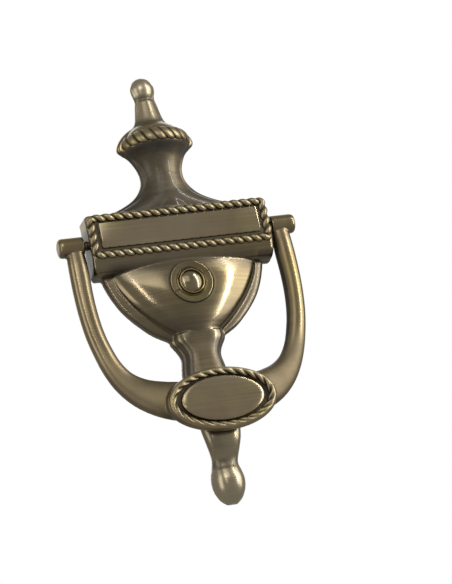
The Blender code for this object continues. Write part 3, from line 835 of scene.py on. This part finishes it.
def block_body():
    """The name block: one section from end to end, with a cove along its underside and eased ends."""
    cove_depth, cove_top, across, up = 3.6, 18.2, 7.4, 5.8
    cove = [(cove_depth + across * sin(a), cove_top - up * cos(a)) for a in np.linspace(0.0, 1.4, 14)]
    section = [(0.0, 41.5), (8.0, 41.5), (10.0, 41.4), (BLOCK_FACE - 0.7, BLOCK_TOP + 0.1)]
    section += [(BLOCK_FACE, BLOCK_TOP - 0.9), (BLOCK_FACE, BLOCK_BOTTOM + 0.9)]
    section += reversed(cove)
    section += [(2.4, 12.0), (0.0, 12.0)]
    ends = [(BLOCK_HALF_WIDTH, 0.90), (43.5, 0.95), (43.0, 0.98), (42.2, 1.0)]
    rings = []
    for x, size in ends + [(-x, size) for x, size in reversed(ends)]:
        heights = [BLOCK_MIDDLE + (z - BLOCK_MIDDLE) * size for _, z in section]
        rings.append([place(x, z, depth * size) for z, (depth, _) in zip(heights, section)])
    return from_rings("block", rings)


def strike():
    """The striking pad on the stem, behind the medallion."""
    profile = [(0.0, 10.9), (5.4, 10.9), (6.0, 10.3), (6.0, 5.0), (0.0, 5.0)]
    return turned("strike", profile, place(0, MEDALLION_Z, 0), OUTWARD, 48)


def casting_cutters():
    """The hollows in the back, the viewer's hole and seat, the tapped holes and the holes for the pins."""
    cutters = [box("block_hollow", (-38.2, 38.2), (26.4, 37.2), (-5.0, 8.4))]
    rows = finer(BOWL[1:7], 3)
    wall, lip = 3.2, 1.0
    hollow = [half_section(z, w - lip, depth - wall, 2.6, back=-5.0) for z, _, w, depth in rows]
    cutters.append(from_rings("bowl_hollow", hollow))
    at = place(0, VIEWER_Z, 0)
    cutters.append(bore("viewer_hole", VIEWER_HOLE_RADIUS, (-10.0, 30.0), at, OUTWARD))
    cutters.append(bore("viewer_seat", VIEWER_SEAT_RADIUS, (VIEWER_SEAT_DEPTH, 30.0), at, OUTWARD, 96))
    for name, height in FIXING_HEIGHTS.items():
        span = (-4.0, TAPPED_HOLE_DEPTH)
        cutters.append(bore("tapped_" + name, TAPPED_HOLE_RADIUS, span, place(0, height, 0), OUTWARD))
    pivot = place(0, PIVOT_Z, PIVOT_DEPTH)
    for side in (-1, 1):
        cutters.append(bore("pin_hole", PIN_HOLE_RADIUS, (36.0, 50.0), pivot, (side, 0, 0), 40))
    return cutters


def casting():
    """The fixed casting: urn, name block, bowl and stem in one, on thin flat plates that widen its back."""
    bowl = finer(BOWL, 6)
    stem = finer(STEM, 6)
    stem_plate = finer(STEM_PLATE, 6)
    neck_foot = finer(NECK_FOOT, 4)
    urn_plate = finer(URN_PLATE, 4)
    parts = [
        from_rings("rim", [half_section(z, w, 4.6, 7.0) for z, w, _, _ in bowl]),
        from_rings("dome", [half_section(z, w, depth, 2.15, back=2.0) for z, _, w, depth in bowl]),
        from_rings("stem_rim", [half_section(z, w, depth, 6.0) for z, w, depth in stem_plate]),
        from_rings("stem", [half_section(z, w, d, square, narrowing=n) for z, w, n, d, square in stem]),
        from_rings("urn_plate", [half_section(z, w, depth, 6.0) for z, w, depth in urn_plate]),
        from_rings("neck_foot", [half_section(z, w, depth, 2.1) for z, w, depth in neck_foot]),
        urn_turned(),
        block_body(),
        strike(),
    ]
    body = fused("casting", parts, voxel=0.42, passes=3)
    return casting_shade_and_light(cut(body, casting_cutters()))


def block_rope():
    """The rope border round the name panel."""
    corner = 1.6
    straight_x = BLOCK_HALF_WIDTH - ROPE_RADIUS - corner
    straight_z = (BLOCK_TOP - BLOCK_BOTTOM) / 2 - ROPE_RADIUS - corner
    path = []
    for quarter, (side_x, side_z) in enumerate(((1, 1), (-1, 1), (-1, -1), (1, -1))):
        for step in range(7):
            angle = pi / 2 * quarter + pi / 12 * step
            x = side_x * straight_x + corner * cos(angle)
            path.append(place(x, BLOCK_MIDDLE + side_z * straight_z + corner * sin(angle), BLOCK_FACE))
    path = resampled(path, 0.34)
    fronts = [Vector(OUTWARD)] * len(path)
    return rope("block_rope", path, fronts, ROPE_RADIUS + 0.1, 45, 1.5, groove=0.52)


def urn_rope():
    """The rope round the shoulder of the urn, ending just short of the flat back."""
    half_width, reach, height = 14.5, 13.9, 77.1
    path, fronts = [], []
    for angle in np.linspace(0.01 * pi, 0.99 * pi, 150):
        path.append(place(half_width * cos(angle), height, reach * sin(angle)))
        fronts.append(Vector((cos(angle), -sin(angle), 0.5)))
    return rope("urn_rope", path, fronts, 3.9, 11, 2.2, groove=0.16, closed=False, around=48, flat=0.62)


def name_panel():
    """The raised flat panel inside the rope border, with softened edges."""
    x_range = (-PANEL_HALF_WIDTH, PANEL_HALF_WIDTH)
    panel = box("name_panel", x_range, (PANEL_BOTTOM, PANEL_TOP), (10.0, PANEL_FACE))
    edges = panel.modifiers.new("edges", "BEVEL")
    edges.width = 0.8 * MM
    edges.segments = 4
    panel = baked(panel)
    panel.data.shade_smooth()
    panel.data.set_sharp_from_angle(angle=0.3)
    return panel


# ---------------------------------------------------------------- the bail


def arm(side):
    """One arm, from its boss down to the medallion: a rounded bar swept along its stations."""
    rows = finer(ARM, 5)
    centers = [place(side * x, z, depth) for x, z, depth, _, _ in rows]
    rings = []
    for i, (_, _, _, half_width, half_thickness) in enumerate(rows):
        along = (centers[min(i + 1, len(rows) - 1)] - centers[max(i - 1, 0)]).normalized()
        across = along.cross(Vector(OUTWARD)).normalized() * half_width * MM
        out = across.cross(along).normalized() * half_thickness * MM
        ring = []
        for k in range(48):
            angle = 2 * pi * k / 48
            c = abs(cos(angle)) ** 0.85 * (1 if cos(angle) > 0 else -1)
            s = abs(sin(angle)) ** 0.85 * (1 if sin(angle) > 0 else -1)
            ring.append(centers[i] + across * c + out * s)
        rings.append(ring)
    return from_rings("arm", rings)


def oval(half_width, half_height, depth, points=96):
    """An oval round the middle of the medallion."""
    turns = [2 * pi * k / points for k in range(points)]
    return [place(half_width * cos(a), MEDALLION_Z + half_height * sin(a), depth) for a in turns]


def boss(side):
    """The round boss at the top of an arm, with eased ends."""
    profile = [(0.0, BOSS_OUTER_X), (BOSS_RADIUS - 1.4, BOSS_OUTER_X)]
    profile += [(BOSS_RADIUS - 0.4, BOSS_OUTER_X - 0.4), (BOSS_RADIUS, BOSS_OUTER_X - 1.4)]
    profile += [(BOSS_RADIUS, BOSS_INNER_X + 0.4), (BOSS_RADIUS - 0.4, BOSS_INNER_X), (0.0, BOSS_INNER_X)]
    return turned("boss", profile, place(0, PIVOT_Z, PIVOT_DEPTH), (side, 0, 0), 64)


def bail():
    """The swinging bail: two arms with their bosses, the medallion and the stub that strikes the pad."""
    medallion = from_rings("medallion", [oval(*row) for row in MEDALLION])
    stub_profile = [(0.0, 17.0), (5.4, 17.0), (5.4, 11.8), (4.8, 11.2), (0.0, 11.2)]
    stub = turned("stub", stub_profile, place(0, MEDALLION_Z, 0), OUTWARD, 48)
    body = fused("bail", [arm(1), arm(-1), medallion, stub, boss(-1), boss(1)], voxel=0.36, passes=10)
    pivot = place(0, PIVOT_Z, PIVOT_DEPTH)
    bores = [bore("boss_bore", PIN_HOLE_RADIUS, (40.0, 54.9), pivot, (side, 0, 0), 40) for side in (-1, 1)]
    return bail_wash_and_shade(cut(body, bores))


def medallion_rope():
    """The rope border round the medallion, with its grooves on the inner side."""
    path = resampled(oval(23.7, 12.75, 19.7, 400), 0.32)
    fronts = [Vector(OUTWARD)] * len(path)
    return rope("medallion_rope", path, fronts, 1.8, 24, 3.0, groove=0.62, inner=1.0)


def medallion_face():
    """The low domed disc inside the medallion's rope."""
    rows = [(19.8, 10.6, 18.5), (19.8, 10.6, 20.2), (19.6, 10.4, 20.6), (19.2, 10.0, 20.95)]
    rows += [(18.6, 9.4, 21.15), (17.0, 8.4, 21.25), (12.0, 5.8, 21.35), (6.0, 2.8, 21.4), (0.6, 0.3, 21.4)]
    face = from_rings("medallion_face", [oval(*row) for row in rows])
    face.data.set_sharp_from_angle(angle=0.7)
    return face


# ---------------------------------------------------------------- viewer and fixings


def viewer_flange():
    """The viewer's outer barrel: a flange with a raised lip and two key slots, and the tube behind it."""
    profile = [(6.5, 12.8), (6.8, 13.0), (7.1, 12.7), (7.3, 12.3), (9.5, 12.55), (9.9, 12.55)]
    profile += [(10.2, 12.3), (10.2, 11.3), (6.6, 11.3), (6.6, -28.0), (5.5, -28.0), (5.5, 10.8)]
    profile += [(6.4, 10.8), (6.4, 12.7), (6.5, 12.8)]
    piece = turned("viewer_flange", profile, place(0, VIEWER_Z, 0), OUTWARD, 128, 0.5)
    slots = []
    for angle in (radians(206), radians(26)):
        center = place(8.8 * cos(angle), VIEWER_Z + 8.8 * sin(angle), 13.1)
        slots.append(stood(box("slot", (-1.5, 2.2), (-0.35, 0.35), (-1.2, 1.2)), center, -angle))
    return cut(piece, slots)


def lens_ring():
    """The rolled ring that holds the front lens."""
    profile = [(5.3, 12.6), (5.45, 13.1), (5.7, 13.3), (6.0, 13.1), (6.1, 12.7), (6.1, 11.1), (5.3, 11.1)]
    profile.append(profile[0])
    return turned("lens_ring", profile, place(0, VIEWER_Z, 0), OUTWARD, 96, 0.5)


def objective_lens():
    """The front lens: domed at the front and hollowed at the back."""
    profile = [(0.0, 13.5), (0.8, 13.47), (1.6, 13.38), (2.4, 13.23), (3.2, 13.02), (4.0, 12.75)]
    profile += [(4.6, 12.5), (5.0, 12.3), (5.15, 12.1), (5.2, 11.9), (5.2, 7.6)]
    profile += [(3.6, 8.3), (2.0, 9.1), (0.0, 9.3)]
    return turned("objective_lens", profile, place(0, VIEWER_Z, 0), OUTWARD, 72, 0.5)


def eyepiece_barrel():
    """The room-side half of the viewer: a tube and a flange with two key slots."""
    profile = [(4.3, -9.0), (5.2, -9.0), (5.2, ROOM), (8.8, ROOM), (9.0, ROOM - 0.2), (9.0, ROOM - 1.4)]
    profile += [(8.6, ROOM - 2.2), (7.6, ROOM - 2.6), (4.9, ROOM - 2.6), (4.6, ROOM - 2.3)]
    profile += [(4.3, ROOM - 2.2), (4.3, -9.0)]
    body = turned("eyepiece_barrel", profile, place(0, VIEWER_Z, 0), OUTWARD, 96, 0.5)
    slots = []
    for side in (1, -1):
        slot = box("slot", (-1.0, 1.0), (-0.6, 0.6), (-1.0, 1.0))
        slots.append(stood(slot, place(side * 8.6, VIEWER_Z, ROOM - 2.4)))
    return cut(body, slots)


def threads(name, span, depth, at, direction):
    """A threaded rod: rings whose radius follows the thread along and around, fading out at both ends."""
    steps = 40
    radius, pitch = THREAD_RADIUS, THREAD_PITCH
    near, far = span
    turn = Vector((0.0, 0.0, 1.0)).rotation_difference(Vector(direction)).to_matrix()
    rings = []
    rows = int((far - near) / pitch * 8)
    for row in range(rows + 1):
        along = near + (far - near) * row / rows
        ring = []
        for k in range(steps):
            angle = 2 * pi * k / steps
            phase = (along / pitch - k / steps) % 1.0
            fade = min((along - near) / pitch, (far - along) / pitch, 1.0)
            size = radius - depth * abs(2 * phase - 1) * fade - 0.3 * (1 - fade)
            ring.append(turn @ Vector((size * cos(angle), size * sin(angle), along)) * MM + Vector(at))
        rings.append(ring)
    piece = from_rings(name, rings)
    piece.data.set_sharp_from_angle(angle=0.8)
    return piece


def post(name, height):
    """A turned post, with a threaded stub that screws into the casting and a tapped bore at its other end."""
    at = place(0, height, 0)
    bore_end = POST_END + 24.0
    profile = [(0.0, 0.6), (1.5, 0.6), (1.5, -0.3), (2.6, -0.3), (2.9, -0.6), (2.9, POST_END + 0.3)]
    profile += [(2.7, POST_END), (2.3, POST_END), (2.3, bore_end), (0.0, bore_end)]
    body = turned(name, profile, at, OUTWARD, 64, 0.5)
    stub = threads("stub_" + name, (0.3, 4.7), 0.34, at, OUTWARD)
    return united(body, stub)


def screw(name, height):
    """A pan-head machine screw with a cross recess, its head inside the collar."""
    at = place(0, height, 0)
    seat = ROOM - 4.3
    top = seat - 2.7
    profile = [(0.0, seat + 0.8), (1.6, seat + 0.8), (1.6, seat), (3.7, seat), (3.9, seat - 0.2)]
    profile += [(3.85, seat - 1.1), (3.5, seat - 1.8), (2.7, seat - 2.35), (1.6, seat - 2.65), (0.0, top)]
    head = turned(name, profile, at, OUTWARD, 64, 0.5)
    rod = threads("rod_" + name, (seat + 0.3, seat + 29.8), 0.36, at, OUTWARD)
    body = united(head, rod)
    cross = []
    for angle in (0.0, pi / 2):
        blade = box("blade", (-1.9, 1.9), (-0.42, 0.42), (-1.5, 1.5))
        for vertex in blade.data.vertices:
            if vertex.co.y < 0:
                vertex.co.x *= 0.35
        cross.append(stood(blade, place(0, height, top), angle))
    return cut(body, cross)


def collar(name, height):
    """The cupped collar under a screw's head."""
    profile = [(6.4, ROOM), (6.6, ROOM - 0.2), (6.6, ROOM - 1.1), (6.3, ROOM - 1.7), (5.7, ROOM - 2.1)]
    profile += [(5.25, ROOM - 2.5), (5.0, ROOM - 3.6), (4.6, ROOM - 4.0), (3.5, ROOM - 4.0)]
    profile += [(3.0, ROOM - 3.6), (3.0, ROOM), (6.4, ROOM)]
    return turned(name, profile, place(0, height, 0), OUTWARD, 72, 0.45)


# ---------------------------------------------------------------- build

# the scale of the brush lines along x, y and z
ALONG_CASTING = (26.0, 40.0, 1500.0)
ALONG_PANEL = (16.0, 300.0, 1700.0)
ALONG_ARMS = (300.0, 300.0, 60.0)
ROUND_VIEWER = (700.0, 60.0, 700.0)
ROUND_POST = (1800.0, 20.0, 1800.0)

brass_cast = antique_brass("antique_brass_cast", ALONG_CASTING, rough=0.11, coat=0.40)
brass_rope = antique_brass("antique_brass_rope", (500.0, 500.0, 500.0), brass=(0.40, 0.336, 0.20),
                           dark=(0.040, 0.032, 0.024), recess=2.0, streak=0.3, rough=0.33)
brass_panel = antique_brass("antique_brass_panel", ALONG_PANEL, brass=(0.475, 0.397, 0.258),
                            recess=1.0, streak=0.45, rough=0.07)
brass_disc = antique_brass("antique_brass_disc", ALONG_PANEL, brass=(0.445, 0.372, 0.242),
                           recess=1.0, streak=0.45, rough=0.15)
brass_bail = antique_brass("antique_brass_bail", ALONG_ARMS, streak=0.25, rough=0.19)
brass_ring = antique_brass("viewer_brass_ring", ROUND_VIEWER, brass=(0.50, 0.42, 0.26),
                           recess=0.6, streak=0.2, rough=0.2)
brass_turned = antique_brass("viewer_brass", ROUND_VIEWER, brass=(0.27, 0.218, 0.132),
                             recess=1.5, streak=0.25)
champagne = plain_metal("champagne_brass", (0.62, 0.50, 0.40), ROUND_POST, 0.30)
black = plain_metal("black_oxide", (0.022, 0.022, 0.024), (300.0, 300.0, 300.0), 0.42, 0.7, 0.3)
black_dull = plain_metal("black_anodised", (0.03, 0.03, 0.03), (900.0, 900.0, 900.0), 0.55, 0.6, 0.3)
glass = lens_glass("lens_glass")
front_glass = coated_lens("front_lens_glass")

dress(casting(), brass_cast, "plate", ["backplate"])
dress(block_rope(), brass_rope, "plate", ())
dress(urn_rope(), brass_rope, "plate", ())
dress(name_panel(), brass_panel, "plate", ())
dress(bail(), brass_bail, "bail", ["knocker_bail"])
dress(medallion_rope(), brass_rope, "bail", ())
dress(medallion_face(), brass_disc, "bail", ())

dress(viewer_flange(), brass_turned, "plate", ["viewer_outer_barrel"])
dress(lens_ring(), brass_ring, "plate", ["viewer_lens_ring"])
dress(objective_lens(), front_glass, "plate", ["viewer_objective_lens"])
dress(eyepiece_barrel(), brass_turned, "eyepiece", ["viewer_inner_barrel"])
for name, height in FIXING_HEIGHTS.items():
    dress(post("turned_post_" + name, height), champagne, "plate", ["post_" + name])
    dress(screw("pan_screw_" + name, height), black, name + "_screw_set", ["screw_" + name])
    dress(collar("cup_collar_" + name, height), black, name + "_screw_set", ["collar_" + name])

for name in ("pivot_pin_left", "pivot_pin_right"):
    dress_node(name, brass_turned)
for name in ("viewer_second_lens", "viewer_third_lens", "viewer_eyepiece_lens"):
    dress_node(name, glass)
for name in ("viewer_front_spacer", "viewer_rear_spacer", "viewer_eyepiece_ring"):
    dress_node(name, black_dull)

# ---------------------------------------------------------------- floor, light and camera


def stage_floor():
    """A pale floor far below the knocker, which doesn't show in the brass."""
    half, height = 3.0, -0.5
    corners = [(-half, -half, height), (half, -half, height), (half, half, height), (-half, half, height)]
    mesh = bpy.data.meshes.new("floor")
    mesh.from_pydata(corners, [], [(0, 1, 2, 3)])
    floor = new_object("floor", mesh)
    n = Nodes("pale_floor")
    tone = n.ramp(n.noise((3.0, 3.0, 3.0), 2.0, 0.5), [(0.3, 0.80), (0.7, 0.84)])
    n.link(tone, n.shader.inputs["Base Color"])
    n.shader.inputs["Roughness"].default_value = 0.7
    n.shader.inputs["Emission Color"].default_value = (1.0, 1.0, 1.0, 1.0)
    n.shader.inputs["Emission Strength"].default_value = 0.34
    mesh.materials.append(n.material)
    floor.visible_glossy = False


def soft_light(name, at, size, power):
    """A white panel of light at a place in metres, turned towards the knocker."""
    data = bpy.data.lights.new(name, "AREA")
    data.shape = "RECTANGLE"
    data.size, data.size_y = size
    data.energy = power
    obj = new_object(name, data)
    obj.location = at
    obj.rotation_mode = "QUATERNION"
    obj.rotation_quaternion = (-Vector(at)).to_track_quat("-Z", "Y")


def white_world(strength):
    """A world that is plain white to the camera and lights the knocker with the given strength."""
    world = bpy.data.worlds.new("white")
    world.use_nodes = True
    tree = world.node_tree
    lighting = tree.nodes["Background"]
    lighting.inputs["Color"].default_value = (1.0, 1.0, 1.0, 1.0)
    lighting.inputs["Strength"].default_value = strength
    seen = tree.nodes.new("ShaderNodeBackground")
    seen.inputs["Color"].default_value = (1.0, 1.0, 1.0, 1.0)
    seen.inputs["Strength"].default_value = 1.0
    path = tree.nodes.new("ShaderNodeLightPath")
    blend = tree.nodes.new("ShaderNodeMixShader")
    tree.links.new(path.outputs["Is Camera Ray"], blend.inputs[0])
    tree.links.new(lighting.outputs[0], blend.inputs[1])
    tree.links.new(seen.outputs[0], blend.inputs[2])
    tree.links.new(blend.outputs[0], tree.nodes["World Output"].inputs["Surface"])
    bpy.context.scene.world = world


def camera():
    """Below and to the left of the knocker, looking up at it, and tilted."""
    azimuth, elevation, roll = radians(19.458), radians(16.936), radians(12.58)
    distance, view_height, aim = 1527.8, 270.12, place(18.663, 0.119, 2.0)
    back = Vector((-sin(azimuth) * cos(elevation), -cos(azimuth) * cos(elevation), -sin(elevation)))
    right = (-back).cross(Vector((0, 0, 1))).normalized()
    up = right.cross(-back)
    turned_right = cos(roll) * right - sin(roll) * up
    turned_up = sin(roll) * right + cos(roll) * up
    data = bpy.data.cameras.new("camera")
    data.sensor_fit = "VERTICAL"
    data.sensor_height = 36.0
    data.lens = data.sensor_height * distance / view_height
    data.clip_end = 20.0
    obj = new_object("camera", data)
    matrix = Matrix((turned_right, turned_up, back)).transposed().to_4x4()
    matrix.translation = aim + back * distance * MM
    obj.matrix_world = matrix
    bpy.context.scene.camera = obj


stage_floor()
white_world(0.33)
soft_light("key", (0.79, -0.81, 0.33), (0.05, 1.3), 6.0)
soft_light("edge", (-0.42, -1.05, 0.30), (0.03, 1.0), 1.1)
soft_light("right", (1.15, -0.55, 0.2), (0.7, 1.3), 6.2)
soft_light("front", (-0.35, -1.3, 0.75), (1.0, 0.8), 2.9)
soft_light("left", (-1.1, -0.4, 0.1), (0.6, 1.3), 3.0)
soft_light("back", (0.2, 1.2, 0.7), (1.4, 1.4), 6.5)
camera()
bpy.context.scene.view_settings.view_transform = "Standard"
